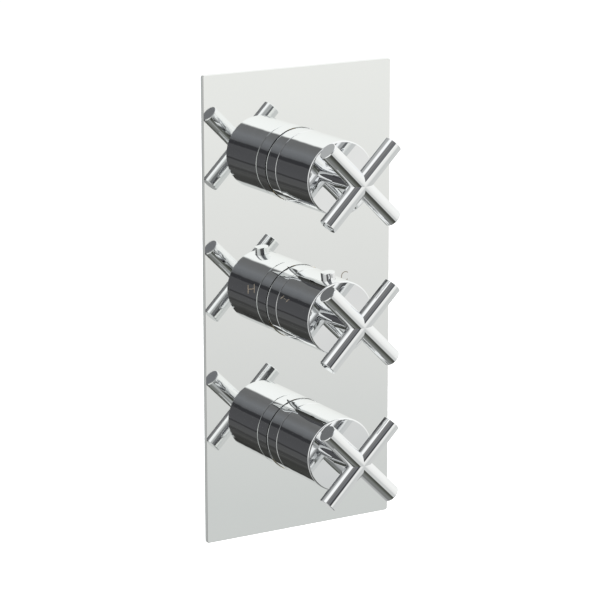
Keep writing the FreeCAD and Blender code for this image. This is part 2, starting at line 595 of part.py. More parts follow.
def shuttle():
    """Throttle ring that slides between the hot and the cold windows, with a spoked hub."""
    outer = ring(CARTRIDGE_BORE - RUNNING, CARTRIDGE_BORE - SHUTTLE_WALL, SHUTTLE_BACK, SHUTTLE_FRONT)
    hub = ring(WAX_RADIUS + SHUTTLE_WALL, WAX_RADIUS + RUNNING, SHUTTLE_BACK, SHUTTLE_FRONT)
    back, front = SHUTTLE_BACK + SHUTTLE_SPOKE_INSET, SHUTTLE_FRONT - SHUTTLE_SPOKE_INSET
    span = 2 * CARTRIDGE_BORE - SHUTTLE_WALL
    opening = rod(WAX_RADIUS + SHUTTLE_WALL / 2, SHUTTLE_BACK, SHUTTLE_FRONT)
    spokes = [block(span, back, front, SHUTTLE_SPOKE).cut(opening),
              block(SHUTTLE_SPOKE, back, front, span).cut(opening)]
    return joined([outer, hub] + spokes)


def wax_element():
    """Copper capsule filled with wax: its rim rests on the shuttle's hub, and its bore guides the pin."""
    rim_front = SHUTTLE_FRONT + WAX_RIM_LENGTH
    rim_radius, stem_radius = WAX_RADIUS + WAX_RIM, WAX_RADIUS - WAX_STEM_STEP
    capsule = turned([(0, WAX_BACK), (WAX_RADIUS - WAX_END_CHAMFER, WAX_BACK),
                      (WAX_RADIUS, WAX_BACK + WAX_END_CHAMFER), (WAX_RADIUS, SHUTTLE_FRONT),
                      (rim_radius, SHUTTLE_FRONT), (rim_radius, rim_front),
                      (stem_radius, rim_front + WAX_STEM_STEP), (stem_radius, WAX_FRONT), (0, WAX_FRONT)])
    return capsule.cut(rod(WAX_PIN_RADIUS + RUNNING, PIN_BACK - WAX_TRAVEL - LOOSE, WAX_FRONT + 1))


def wax_pin():
    """Steel pin that the wax pushes out; its head carries the overload spring."""
    return joined([rod(WAX_PIN_RADIUS, PIN_BACK, PIN_HEAD_FRONT),
                   rod(OVERLOAD_RADIUS + OVERLOAD_WIRE, PIN_HEAD_BACK, PIN_HEAD_FRONT)])


def slider():
    """Hexagonal nut that cannot turn: the spindle moves it along, its cup holds the overload spring."""
    nut = hexagon(SLIDER_HEX, SLIDER_BACK, SLIDER_FRONT)
    cup_radius = OVERLOAD_RADIUS + OVERLOAD_WIRE + LOOSE
    nut = nut.cut(rod(cup_radius, SLIDER_BACK - 1, SLIDER_BACK + SLIDER_CUP_DEPTH))
    return nut.cut(rod(ADJUSTER_RADIUS + RUNNING, SLIDER_BACK, SLIDER_FRONT + 1))


def return_spring():
    length = SHUTTLE_BACK - SPRING_SEAT_FRONT
    spring = coil(RETURN_RADIUS, RETURN_WIRE, length, RETURN_TURNS)
    return along(spring, Vector(0, -1, 0), Vector(0, -SPRING_SEAT_FRONT, 0))


def overload_spring():
    length = SLIDER_BACK + SLIDER_CUP_DEPTH - PIN_HEAD_FRONT
    spring = coil(OVERLOAD_RADIUS, OVERLOAD_WIRE, length, OVERLOAD_TURNS)
    return along(spring, Vector(0, -1, 0), Vector(0, -PIN_HEAD_FRONT, 0))


def temp_spindle():
    """Adjusting spindle: threaded end in the slider, thrust collar, stem and toothed tip."""
    adjuster_end = SLIDER_BACK + SLIDER_CUP_DEPTH + ADJUSTER_STANDOFF
    thrust_end = THRUST_BACK + THRUST_LENGTH
    stem_end = CARTRIDGE_FRONT + TEMP_STEM_SHOWN
    spindle = joined([rod(ADJUSTER_RADIUS, adjuster_end, THRUST_BACK + 1),
                      rod(THRUST_RADIUS, THRUST_BACK, thrust_end),
                      rod(SPINDLE_RADIUS, thrust_end - 1, stem_end),
                      splines(SPLINE_RADIUS, stem_end - 1, TEMP_SPINDLE_TIP, 0.0)])
    return spindle.cut(stem_groove(TEMP_SEAL_DEPTH))


def temp_spindle_o_ring():
    return stem_seal(TEMP_SEAL_DEPTH)


STOP_FRONT = BUTTON_DEPTH - BUTTON_RADIUS - BUTTON_FLANGE_LAP - STOP_SETBACK
STOP_BACK = TEMP_TOWER_FRONT + CARTRIDGE_HEX_LENGTH + RUNNING
FINGER_BOTTOM = STOP_OUTER + BUTTON_TRAVEL + LOOSE
FINGER_TOP = FINGER_BOTTOM + FINGER_HEIGHT
RIB_TOP = FINGER_TOP - 2 * RUNNING


def tilted(shape, z=0.0, extra=0.0):
    """Turns a shape built upright above the handle axis to the button's place, seen from the front."""
    shape.rotate(Vector(0, 0, 0), Vector(0, -1, 0), BUTTON_TILT + extra)
    shape.translate(Vector(0, 0, z))
    return shape


def stop_sleeve():
    """Plastic sleeve on the cartridge's neck; two ribs meet the button's finger at the ends of the scale."""
    sleeve_body = ring(STOP_OUTER, CARTRIDGE_NECK_RADIUS + RUNNING, STOP_BACK, STOP_FRONT)
    # the finger is nearest to the axis, and so widest in angle, when the button is pressed
    offset = FINGER_WIDTH / 2 + LOOSE + RIB_WIDTH / 2
    offset_angle = math.degrees(math.asin(offset / (STOP_OUTER + LOOSE)))
    ribs = []
    for turn in (TURN_TO_HOT + offset_angle, -TURN_TO_COLD - offset_angle):
        rib = Part.makeBox(RIB_WIDTH, RIB_LENGTH, RIB_TOP - STOP_OUTER + 1.0)
        rib.translate(Vector(-RIB_WIDTH / 2, -STOP_FRONT, STOP_OUTER - 1.0))
        ribs.append(tilted(rib, extra=turn))
    key_way = upright_rod(GRUB_RADIUS + 1.0, -2 * STOP_OUTER, -CARTRIDGE_NECK_RADIUS + 1, GRUB_DEPTH)
    return joined([sleeve_body] + ribs).cut(key_way)


FLANGE_TOP = math.sqrt(BARREL_BORE ** 2 - (BUTTON_RADIUS + BUTTON_FLANGE_LAP) ** 2) - FLANGE_GAP
FLANGE_BOTTOM = FLANGE_TOP - BUTTON_FLANGE


def override_button():
    """Press button on the temperature barrel: cap, a flange that keeps it in, a foot and a finger."""
    cap = upright_rod(BUTTON_RADIUS, FLANGE_BOTTOM, BUTTON_TOP, BUTTON_DEPTH)
    crown = [e for e in cap.Edges if e.BoundBox.ZMin > BUTTON_TOP - 1]
    cap = cap.makeFillet(BUTTON_ROUND, crown)
    flange = upright_rod(BUTTON_RADIUS + BUTTON_FLANGE_LAP, FLANGE_BOTTOM, FLANGE_TOP, BUTTON_DEPTH)
    foot = upright_rod(BUTTON_FOOT_RADIUS, FINGER_BOTTOM, FLANGE_TOP, BUTTON_DEPTH)
    finger = Part.makeBox(FINGER_WIDTH, BUTTON_DEPTH - STOP_FRONT + FINGER_OVERLAP, FINGER_HEIGHT,
                          Vector(-FINGER_WIDTH / 2, -BUTTON_DEPTH, FINGER_BOTTOM))
    return tilted(joined([cap, flange, foot, finger]))


def button_spring():
    """Bowed leaf spring: its ends press on the barrel's wall and its middle lifts the flange."""
    top = FLANGE_BOTTOM
    end_z = math.sqrt((BARREL_BORE - LOOSE - RUNNING) ** 2 - LEAF_HALF_SPAN ** 2)
    sag = top - end_z
    radius = (LEAF_HALF_SPAN ** 2 + sag ** 2) / (2 * sag)
    back, front = BUTTON_DEPTH - LEAF_WIDTH / 2, BUTTON_DEPTH + LEAF_WIDTH / 2
    bow = ring(radius, radius - LEAF_THICKNESS, back, front, top - radius)
    leaf = bow.common(block(2 * LEAF_HALF_SPAN, back - 1, front + 1, 2 * sag + 2, top - sag))
    return tilted(leaf.cut(upright_rod(BUTTON_FOOT_RADIUS + LOOSE, 0, BARREL_RADIUS, BUTTON_DEPTH)))


# ---- Manifold casting ----------------------------------------------------------------------------------
def tower(radius, front, z):
    """Forward-facing tower with a chamfered back and a collar for the sleeve."""
    step = front - COLLAR_LENGTH
    return turned([(0, TOWER_BACK), (radius - TOWER_BACK_CHAMFER, TOWER_BACK),
                   (radius, TOWER_BACK + TOWER_BACK_CHAMFER), (radius, step - TOWER_SHOULDER),
                   (COLLAR_RADIUS, step), (COLLAR_RADIUS, front - COLLAR_LEAD),
                   (COLLAR_RADIUS - COLLAR_LEAD, front), (0, front)], z)


def foot_bar(z):
    """Cast strap across the gallery with a rounded lug and a screw hole at each end."""
    half = FOOT_SPACING_X / 2
    strap = joined([block(FOOT_SPACING_X, 0, FOOT_THICKNESS, 2 * FOOT_END_RADIUS, z),
                    rod(FOOT_END_RADIUS, 0, FOOT_THICKNESS, z, half),
                    rod(FOOT_END_RADIUS, 0, FOOT_THICKNESS, z, -half),
                    block(2 * GALLERY_RADIUS, 0, GALLERY_DEPTH, 2 * FOOT_END_RADIUS, z)])
    for x in (half, -half):
        strap = strap.cut(rod(FOOT_HOLE_RADIUS, -1, FOOT_THICKNESS + 1, z, x))
    return strap


def side_rod(radius, start, end, depth, side):
    """A cylinder across, on one side (-1 left, +1 right) of the temperature axis."""
    return Part.makeCylinder(radius, end - start, Vector(side * start, -depth, 0), Vector(side, 0, 0))


def outlet_rod(radius, start, end, up):
    """An upright cylinder on an outlet, measured from the flow handle's axis (up: +1 top, -1 bottom)."""
    base = Vector(0, -OUTLET_DEPTH, up * (HANDLE_SPACING + start))
    return Part.makeCylinder(radius, end - start, base, Vector(0, 0, up))


CHECK_FRONT = -PORT_LENGTH - STRAINER_SEAT
CHECK_BACK = CHECK_FRONT - CHECK_LENGTH
CHECK_POCKET = -CHECK_BACK + CHECK_POCKET_PLAY


def valve_body():
    """Brass casting: three towers on a vertical gallery, two inlets, two outlets and two foot bars."""
    boss_radius = PORT_RADIUS + BOSS_WALL
    solids = [tower(TEMP_TOWER_RADIUS, TEMP_TOWER_FRONT, 0.0),
              upright_rod(GALLERY_RADIUS, -HANDLE_SPACING, HANDLE_SPACING, GALLERY_DEPTH)]
    for up in (1, -1):
        solids.append(tower(FLOW_TOWER_RADIUS, FLOW_TOWER_FRONT, up * HANDLE_SPACING))
        solids.append(outlet_rod(boss_radius, 0, OUTLET_END, up))
        solids.append(foot_bar(up * FOOT_SPACING_Z / 2))
    for side in (-1, 1):
        solids.append(side_rod(boss_radius, 0, INLET_END, INLET_DEPTH, side))
    body = joined(solids)
    cuts = [rod(TEMP_BORE_RADIUS, TEMP_BORE_BACK, TEMP_TOWER_FRONT + 1),
            rod(TEMP_FEED_RADIUS, GALLERY_DEPTH, TEMP_BORE_BACK + 1),
            upright_rod(GALLERY_BORE, -HANDLE_SPACING, HANDLE_SPACING, GALLERY_DEPTH)]
    pocket_end = INLET_END - CHECK_POCKET
    strainer_seat = INLET_END - PORT_LENGTH - STRAINER_SEAT
    for depth, side in ((HOT_RING_DEPTH, -1), (COLD_RING_DEPTH, 1)):
        ring_back = depth - RING_LENGTH / 2
        cuts += [rod(TEMP_BORE_RADIUS + RING_EXTRA, ring_back, ring_back + RING_LENGTH),
                 side_rod(PASSAGE_RADIUS, TEMP_BORE_RADIUS, pocket_end + 1, depth, side),
                 side_rod(PORT_RADIUS, INLET_END - PORT_LENGTH, INLET_END + 1, INLET_DEPTH, side),
                 side_rod(STRAINER_RADIUS + RUNNING, strainer_seat, INLET_END, INLET_DEPTH, side),
                 side_rod(CHECK_RADIUS + RUNNING, pocket_end, INLET_END, INLET_DEPTH, side)]
    for up in (1, -1):
        z = up * HANDLE_SPACING
        cuts += [rod(FLOW_THREAD_RADIUS, FLOW_CHAMBER_FRONT, FLOW_TOWER_FRONT + 1, z),
                 rod(FLOW_CHAMBER_RADIUS, FLOW_SEAT_DEPTH, FLOW_CHAMBER_FRONT + 1, z),
                 rod(FLOW_FEED_RADIUS, GALLERY_DEPTH, FLOW_SEAT_DEPTH + 1, z),
                 outlet_rod(FLOW_FEED_RADIUS, FLOW_CHAMBER_RADIUS - 2, OUTLET_END, up),
                 outlet_rod(PORT_RADIUS, OUTLET_END - PORT_LENGTH, OUTLET_END + 1, up)]
    for cut in cuts:
        body = body.cut(cut)
    return body.removeSplitter()


# ---- Strainers and check valves, built on +Z with the boss's end face at zero --------------------------
def upright_ring(outer, inner, start, end):
    return upright_rod(outer, start, end, 0).cut(upright_rod(inner, start - 1, end + 1, 0))


def strainer():
    """Perforated disc on its seat behind the port."""
    back = CHECK_FRONT
    disc = upright_rod(STRAINER_RADIUS, back, back + STRAINER_THICKNESS, 0)
    reach = int(STRAINER_RADIUS / STRAINER_PITCH)
    for row in range(-reach, reach + 1):
        for column in range(-2 * reach, 2 * reach + 1):
            x, y = STRAINER_PITCH * (column + row / 2), STRAINER_PITCH * row * math.sqrt(3) / 2
            if math.hypot(x, y) < STRAINER_RADIUS - STRAINER_PITCH:
                disc = disc.cut(Part.makeCylinder(STRAINER_HOLE_RADIUS, 4, Vector(x, y, back - 2)))
    return disc


def check_housing():
    """Plastic cage: seat at the pipe end, spoked guide at the valve end."""
    inner = CHECK_RADIUS - CHECK_WALL
    cage = upright_ring(CHECK_RADIUS, inner, CHECK_BACK, CHECK_FRONT)
    seat_back = CHECK_FRONT - CHECK_SEAT_LENGTH
    seat = upright_ring(CHECK_RADIUS - CHECK_WALL / 2, CHECK_SEAT_RADIUS, seat_back, CHECK_FRONT)
    hub_bore = CHECK_STEM_RADIUS + RUNNING
    hub = upright_ring(hub_bore + CHECK_HUB_WALL, hub_bore, CHECK_BACK, CHECK_BACK + CHECK_HUB_LENGTH)
    bore = upright_rod(hub_bore + CHECK_HUB_WALL / 2, CHECK_BACK - 1, CHECK_BACK + CHECK_HUB_LENGTH, 0)
    span = 2 * inner + CHECK_WALL
    spokes = []
    for turn in (0, 60, 120):
        corner = Vector(-span / 2, -CHECK_SPOKE_WIDTH / 2, CHECK_BACK)
        spoke = Part.makeBox(span, CHECK_SPOKE_WIDTH, CHECK_SPOKE_LENGTH, corner)
        spoke.rotate(Vector(0, 0, 0), Vector(0, 0, 1), turn)
        spokes.append(spoke.cut(bore))
    return joined([cage, seat, hub] + spokes)


POPPET_FRONT = CHECK_FRONT - CHECK_SEAT_LENGTH - RUNNING
POPPET_BACK = POPPET_FRONT - POPPET_THICKNESS


def check_poppet():
    """Poppet behind its seat, with a nose in the seat and a stem in the guide."""
    disc = upright_rod(POPPET_RADIUS, POPPET_BACK, POPPET_FRONT, 0)
    nose = Part.makeCone(CHECK_SEAT_RADIUS - POPPET_NOSE_PLAY, CHECK_SEAT_RADIUS / 2, POPPET_NOSE_LENGTH,
                         Vector(0, 0, POPPET_FRONT))
    stem_end = CHECK_BACK + CHECK_TRAVEL - LOOSE
    return joined([disc, nose, upright_rod(CHECK_STEM_RADIUS, stem_end, POPPET_FRONT, 0)])


def check_spring():
    start = CHECK_BACK + CHECK_SPOKE_LENGTH
    spring = coil(CHECK_SPRING_RADIUS, CHECK_SPRING_WIRE, POPPET_BACK - start, CHECK_SPRING_TURNS)
    spring.translate(Vector(0, 0, start))
    return spring


def at_inlet(shape, side):
    return along(shape, Vector(side, 0, 0), Vector(side * INLET_END, -INLET_DEPTH, 0))


# ---- Assembly: one entry per node ----------------------------------------------------------------------
def nodes():
    made = {"face_plate": face_plate(), "plate_seal": plate_seal(), "sleeve_o_rings": sleeve_o_rings(),
            "valve_body": valve_body(), "bonnet_o_rings": bonnet_o_rings()}
    for place in ("top", "bottom"):
        z = HANDLES[place]
        made.update({
            f"{place}_sleeve": sleeve(FLOW_TOWER_FRONT, z),
            f"{place}_bonnet": bonnet(z),
            f"{place}_seat_seal": seat_seal(z),
            f"{place}_fixed_disc": ceramic_disc(SEAT_FRONT, FIXED_DISC_FRONT, z, DISC_RADIUS - RUNNING),
            f"{place}_turning_disc": turning_disc(z),
            f"{place}_spindle": flow_spindle(z),
            f"{place}_spindle_o_rings": spindle_o_rings(z),
            f"{place}_circlip": circlip(z),
            f"{place}_extension": extension(z, SPINDLE_TIP, SPLINE_END),
            f"{place}_spline_bush": spline_bush(z, SPLINE_END),
            f"{place}_barrel": barrel(z),
            f"{place}_grub_screw": grub_screw(z),
            f"{place}_cross_head": cross_head(z)})
    made.update({
        "temp_sleeve": sleeve(TEMP_TOWER_FRONT, 0.0),
        "temp_cartridge_housing": cartridge_housing(),
        "temp_cartridge_o_rings": cartridge_o_rings(),
        "temp_spring_seat": spring_seat(),
        "temp_return_spring": return_spring(),
        "temp_shuttle": shuttle(),
        "temp_wax_element": wax_element(),
        "temp_wax_pin": wax_pin(),
        "temp_overload_spring": overload_spring(),
        "temp_slider": slider(),
        "temp_spindle": temp_spindle(),
        "temp_spindle_o_ring": temp_spindle_o_ring(),
        "temp_stop_sleeve": stop_sleeve(),
        "temp_extension": extension(0.0, TEMP_SPINDLE_TIP, SPLINE_END),
        "temp_spline_bush": spline_bush(0.0, SPLINE_END),
        "temp_barrel": barrel(0.0, with_button=True),
        "temp_grub_screw": grub_screw(0.0),
        "temp_cross_head": cross_head(0.0),
        "temp_override_button": override_button(),
        "temp_button_spring": button_spring()})
    for name, side in (("hot", -1), ("cold", 1)):
        made.update({
            f"{name}_strainer": at_inlet(strainer(), side),
            f"{name}_check_housing": at_inlet(check_housing(), side),
            f"{name}_check_poppet": at_inlet(check_poppet(), side),
            f"{name}_check_spring": at_inlet(check_spring(), side)})
    return made


def main():
    os.makedirs("parts", exist_ok=True)
    made = nodes()
    for name, shape in made.items():
        solids = Part.Compound(shape.Solids) if len(shape.Solids) > 1 else shape.Solids[0]
        solids.exportStep(f"parts/{name}.step")
        state = "ok" if shape.isValid() else "INVALID"
        print(f"{name:26s} {len(shape.Solids)} solid(s) {shape.Volume / 1000:9.3f} cm3 {state}")
    print(len(made), "nodes")


main()
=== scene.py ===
# %% [markdown]
# # A concealed shower valve with three cross handles
#
# The object is almost all mirror chrome: a flat cover plate, three fixed sleeves, three turning barrels and
# three crosses of round bar. Behind the plate there is a brass casting that a finished wall would hide. The
# imported CAD model gives every shape and every place, in metres, so this file is about what a mirror needs:
# something worth reflecting, and a finish for each metal, rubber and plastic inside.

# %% Load the imported valve
import json
import math

import bpy
import numpy as np
from mathutils import Matrix, Vector


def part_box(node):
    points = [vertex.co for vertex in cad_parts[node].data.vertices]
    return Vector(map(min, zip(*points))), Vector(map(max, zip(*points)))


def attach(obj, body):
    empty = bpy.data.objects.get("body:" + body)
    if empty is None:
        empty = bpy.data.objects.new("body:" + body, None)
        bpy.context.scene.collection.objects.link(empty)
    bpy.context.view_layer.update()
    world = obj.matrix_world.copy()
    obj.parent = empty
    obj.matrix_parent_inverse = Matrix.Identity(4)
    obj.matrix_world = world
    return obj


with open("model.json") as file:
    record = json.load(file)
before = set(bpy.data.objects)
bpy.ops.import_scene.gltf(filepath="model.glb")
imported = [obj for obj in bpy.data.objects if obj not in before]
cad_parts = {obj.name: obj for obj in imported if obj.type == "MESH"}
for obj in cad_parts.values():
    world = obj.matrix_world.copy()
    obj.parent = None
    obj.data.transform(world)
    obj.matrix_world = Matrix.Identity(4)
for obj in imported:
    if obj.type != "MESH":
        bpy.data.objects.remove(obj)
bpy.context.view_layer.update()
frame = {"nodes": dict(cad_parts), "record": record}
cad_nodes = frame["nodes"]

# %% [markdown]
# ## The camera
#
# A camera could be placed by eye, but mirrors punish that: every reflection moves when the camera does. Its
# place was worked out from the plate's corners and the bar ends instead. It stands left of the valve and
# above it, about 1.7 m away, and turns 30 degrees to the right and 14 degrees down, with a long lens.

# %% Camera
YAW, PITCH, ROLL = (math.radians(angle) for angle in (30.47, 13.97, -0.07))
TO_THE_LEFT, IN_FRONT, ABOVE = 0.858, 1.460, 0.422    # metres from the middle of the plate's face
FOCAL_LENGTH, PICTURE_WIDTH = 2754, 600               # both in pixels
SENSOR_WIDTH = 36.0                                   # millimetres
PLATE_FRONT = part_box("face_plate")[0].y
ahead = Vector((math.sin(YAW) * math.cos(PITCH), math.cos(YAW) * math.cos(PITCH), -math.sin(PITCH)))
level = Vector((math.cos(YAW), -math.sin(YAW), 0.0))
across = math.cos(ROLL) * level + math.sin(ROLL) * level.cross(ahead)
upward = across.cross(ahead)

lens = bpy.data.cameras.new("camera")
lens.sensor_width = SENSOR_WIDTH
lens.lens = SENSOR_WIDTH * FOCAL_LENGTH / PICTURE_WIDTH
lens.clip_end = 50.0
camera = bpy.data.objects.new("camera", lens)
turned = Matrix((across, upward, -ahead)).transposed().to_4x4()
stand = Vector((-TO_THE_LEFT, PLATE_FRONT - IN_FRONT, ABOVE))
camera.matrix_world = Matrix.Translation(stand) @ turned
bpy.context.scene.collection.objects.link(camera)
bpy.context.scene.camera = camera
bpy.context.scene.view_settings.view_transform = "Standard"
print("camera at", [round(value, 3) for value in stand], "with a lens of", round(lens.lens, 1))

# %% [markdown]
# ## Node trees that read like sums
#
# A finish is a formula: roughness is a little noise, colour is one tone mixed with another by a mask. Placing
# Math nodes by hand hides the formula, so one small class wraps a socket and lets Python's own signs add the
# nodes. A second class holds the tree, and its one method, node, adds anything that isn't plain arithmetic.

# %% Wire and Sheet
GENERATED, OBJECT = 0, 3    # outputs of the Texture Coordinate node


class Wire:
    """A socket that can stand in a sum. Each sign adds one Math node, also with the number on the left."""

    def __init__(self, sheet, socket):
        self.sheet, self.socket = sheet, socket

    def math(self, operation, *values):
        return self.sheet.node("Math", {"operation": operation}, *values)

    def __add__(self, other):
        return self.math("ADD", self, other)

    def __radd__(self, other):
        return self.math("ADD", other, self)

    def __sub__(self, other):
        return self.math("SUBTRACT", self, other)

    def __rsub__(self, other):
        return self.math("SUBTRACT", other, self)

    def __mul__(self, other):
        return self.math("MULTIPLY", self, other)

    def __rmul__(self, other):
        return self.math("MULTIPLY", other, self)

    def __truediv__(self, other):
        return self.math("DIVIDE", self, other)

    def __rtruediv__(self, other):
        return self.math("DIVIDE", other, self)


class Sheet:
    """The node tree of one finish, or of the surroundings."""

    def __init__(self, owner):
        owner.use_nodes = True
        self.tree = owner.node_tree
        self.tree.nodes.clear()

    def node(self, kind, settings=None, *values, output=0, **named):
        """Adds a node: its settings first, then its sockets, by place or by name (a space is written _)."""
        made = self.tree.nodes.new("ShaderNode" + kind)
        for name, setting in (settings or {}).items():
            if name == "stops":
                fill_ramp(made.color_ramp, setting)
            else:
                setattr(made, name, setting)
        places = {name.replace("_", " "): value for name, value in named.items()}
        for key, value in [*enumerate(values), *places.items()]:
            if isinstance(value, Wire):
                self.tree.links.new(value.socket, made.inputs[key])
            elif value is not None:
                made.inputs[key].default_value = value
        return Wire(self, made.outputs[output]) if made.outputs else None


def fill_ramp(ramp, stops):
    """Gives a ramp its stops, each a place and a colour."""
    while len(ramp.elements) > 1:
        ramp.elements.remove(ramp.elements[-1])
    for i, (place, colour) in enumerate(stops):
        stop = ramp.elements[0] if i == 0 else ramp.elements.new(place)
        stop.position = place
        stop.color = (*colour, 1.0)


def ease(value, low, high):
    """0 below low, 1 above high, and a smooth step between them."""
    return value.sheet.node("MapRange", {"interpolation_type": "SMOOTHSTEP"}, value, low, high, 0.0, 1.0)


def parts(vector):
    """The x, y and z of a vector."""
    split = vector.sheet.node("SeparateXYZ", None, vector).socket.node
    return [Wire(vector.sheet, socket) for socket in split.outputs]


def tint(mask, first, second):
    """A colour that goes from first to second as the mask goes from 0 to 1.

    The Mix node keeps sockets for numbers and vectors too: its two colours are 6 and 7, its colour output is 2.
    """
    first, second = (tone if isinstance(tone, Wire) else (*tone, 1.0) for tone in (first, second))
    unused = (None,) * 5
    return mask.sheet.node("Mix", {"data_type": "RGBA"}, mask, *unused, first, second, output=2)


print("shader sums ready")

# %% [markdown]
# ## What the chrome reflects
#
# A mirror has no colour of its own, so the room is half of this picture. The photograph shows a pale studio
# to the right and overhead, and a dark side behind the camera, which gives the barrels their dark flanks and
# the bars their bands. Cards and lamps could stand for it, but they would be in the way of other views. The
# room is painted on the sky instead, as a function of two angles: azimuth, from straight in front of the
# plate towards the right, and elevation. The camera itself sees plain white there, and light that isn't
# mirrored gets a plain soft grey.

# %% The room
DEGREES = 180 / math.pi
DARK_BEGINS, DARK_IS_FULL = -63.0, -51.0      # azimuths of the dark side's left end
DARK_ENDS, LEAN, SOFTNESS = 8.5, 0.17, 2.5    # azimuth of its right end at eye level, its lean and its softness
STREAKS_ACROSS, STREAKS_UP = 0.018, 0.5       # streaks to the degree, so that they lie nearly level
STREAK_DEPTH = 0.35
PALE_STOPS = [(-90, (.16, .165, .16)), (-64, (.24, .245, .24)), (-36, (.64, .65, .64)),
              (-24, (.60, .615, .605)), (-18.5, (.621, .637, .629)), (-14.6, (.73, .733, .723)),
              (-9.5, (.85, .852, .833)), (12, (.97, .98, .96)), (40, (1.05, 1.06, 1.05)),
              (90, (.95, .96, .98))]
DARK_STOPS = [(-90, (.34, .35, .35)), (-72, (.22, .23, .22)), (-52, (.095, .10, .085)),
              (-32, (.046, .046, .044)), (-29, (.078, .078, .076)), (-22, (.090, .090, .091)),
              (-14.2, (.087, .087, .090)), (-13.4, (.042, .042, .044)), (-11.8, (.042, .042, .044)),
              (-11, (.083, .083, .088)), (4, (.076, .076, .081)), (9.2, (.078, .078, .082)),
              (10.2, (.036, .036, .040)), (15.2, (.037, .038, .041)), (16.2, (.105, .106, .112)),
              (20, (.150, .155, .165)), (26, (.186, .192, .203)), (32, (.155, .156, .158)),
              (44, (.24, .24, .242)), (50, (.16, .16, .165)), (57, (.50, .52, .54)),
              (90, (.92, .93, .95))]

world = bpy.data.worlds.new("studio")
bpy.context.scene.world = world
room = Sheet(world)
east, north, up = parts(room.node("TexCoord", output=GENERATED))
azimuth = room.node("Math", {"operation": "ARCTAN2"}, east, north * -1.0) * DEGREES
elevation = room.node("Math", {"operation": "ARCSINE"}, up) * DEGREES


def by_elevation(stops):
    """A colour for each elevation in degrees, smooth between the stops."""
    places = [((degrees + 90) / 180, colour) for degrees, colour in stops]
    return room.node("ValToRGB", {"stops": places}, (elevation + 90.0) / 180.0)


pale_side = by_elevation(PALE_STOPS)
streaks = room.node("TexNoise", {"noise_dimensions": "2D"}, Scale=1.0, Detail=3.0,
                    Vector=room.node("CombineXYZ", None, azimuth * STREAKS_ACROSS, elevation * STREAKS_UP))
low = 1.0 - ease(elevation, -20.0, -14.0)
wavy = 1.0 - (1.0 - ease(streaks, 0.34, 0.46)) * low * STREAK_DEPTH
dark_side = room.node("VectorMath", {"operation": "MULTIPLY"}, by_elevation(DARK_STOPS),
                      room.node("CombineXYZ", None, wavy, wavy, wavy))
edge = DARK_ENDS - elevation * LEAN
dark = ease(azimuth, DARK_BEGINS, DARK_IS_FULL) * (1.0 - ease(azimuth - edge, -SOFTNESS, SOFTNESS))
behind = ease(north, 0.05, 0.45)
mirrored = tint(dark, pale_side, dark_side)
mirrored = tint(behind * ease(azimuth * -1.0, 60.0, 140.0), mirrored, (.42, .43, .43))

ray = room.node("LightPath").socket.node.outputs
from_camera, from_gloss, from_clear = (Wire(room, ray[name]) for name in
                                       ("Is Camera Ray", "Is Glossy Ray", "Is Transmission Ray"))
soft_light = room.node("Background", None, (.93, .94, .95, 1.0), 0.62)
room_light = room.node("Background", None, mirrored, 1.0)
white = room.node("Background", None, (1.0, 1.0, 1.0, 1.0), 1.0)
sky = room.node("MixShader", None, from_gloss, soft_light, room_light)
seen_plainly = room.node("Math", {"operation": "MAXIMUM"}, from_camera, from_clear)
sky = room.node("MixShader", None, seen_plainly, sky, white)
room.node("OutputWorld", None, sky)
print("room: pale side, dark side and", len(room.tree.nodes), "nodes")

# %% [markdown]
# ## Floor and lamps
#
# The valve hangs in a wall, so there is no table under it. A wide pale floor lies well below, lit to white as
# the photograph's background is, and it keeps the valve's soft shadow. Mirrors don't see it, because the
# painted room already holds a floor. Three large lamps give matt pieces their shape, and mirrors don't see
# them either.

# %% Stage
FLOOR_REACH, FLOOR_HEIGHT, FLOOR_GLOW = 9.0, -0.46, 0.5
LAMPS = (("key", (-0.9, -1.5, 1.5), 1.2, 26.0),       # name, place, side in metres and power in watts
         ("fill", (1.6, -1.1, 0.7), 1.4, 14.0),
         ("back", (-0.4, 1.6, 1.2), 1.4, 14.0))
MIDDLE = Vector((0.0, PLATE_FRONT, 0.0))


def wide_floor(reach, height, count=5):
    """A square grid: x and y run from -reach to reach, z is the height."""
    side = np.linspace(-reach, reach, count)
    x, y = np.meshgrid(side, side)
    places = np.stack([x.ravel(), y.ravel(), np.full(x.size, height)], 1)
    corner = (np.arange(count - 1)[:, None] * count + np.arange(count - 1)).ravel()
    quads = np.stack([corner, corner + 1, corner + count + 1, corner + count], 1)
    mesh = bpy.data.meshes.new("floor")
    mesh.from_pydata(places.tolist(), [], quads.tolist())
    return mesh


floor = bpy.data.objects.new("floor", wide_floor(FLOOR_REACH, FLOOR_HEIGHT))
bpy.context.scene.collection.objects.link(floor)
floor.visible_glossy = False
paper = bpy.data.materials.new("floor_paper")
sheet = Sheet(paper)
grain = sheet.node("TexNoise", None, sheet.node("TexCoord", output=OBJECT), Scale=40.0, Detail=2.0)
matt = sheet.node("BsdfDiffuse", None, tint(grain, (.86, .86, .86), (.90, .90, .90)), 1.0)
glow = sheet.node("Emission", None, (1.0, 1.0, 1.0, 1.0), FLOOR_GLOW)
seen = Wire(sheet, sheet.node("LightPath").socket.node.outputs["Is Camera Ray"])
lit = sheet.node("AddShader", None, matt, glow)
sheet.node("OutputMaterial", None, sheet.node("MixShader", None, seen, matt, lit))
floor.data.materials.append(paper)

for name, place, side, power in LAMPS:
    lamp = bpy.data.lights.new(name, "AREA")
    lamp.size, lamp.energy = side, power
    holder = bpy.data.objects.new(name, lamp)
    holder.location = place
    holder.rotation_euler = (MIDDLE - holder.location).to_track_quat("-Z", "Y").to_euler()
    holder.visible_glossy = False
    bpy.context.scene.collection.objects.link(holder)
print("floor and", len(LAMPS), "lamps placed")

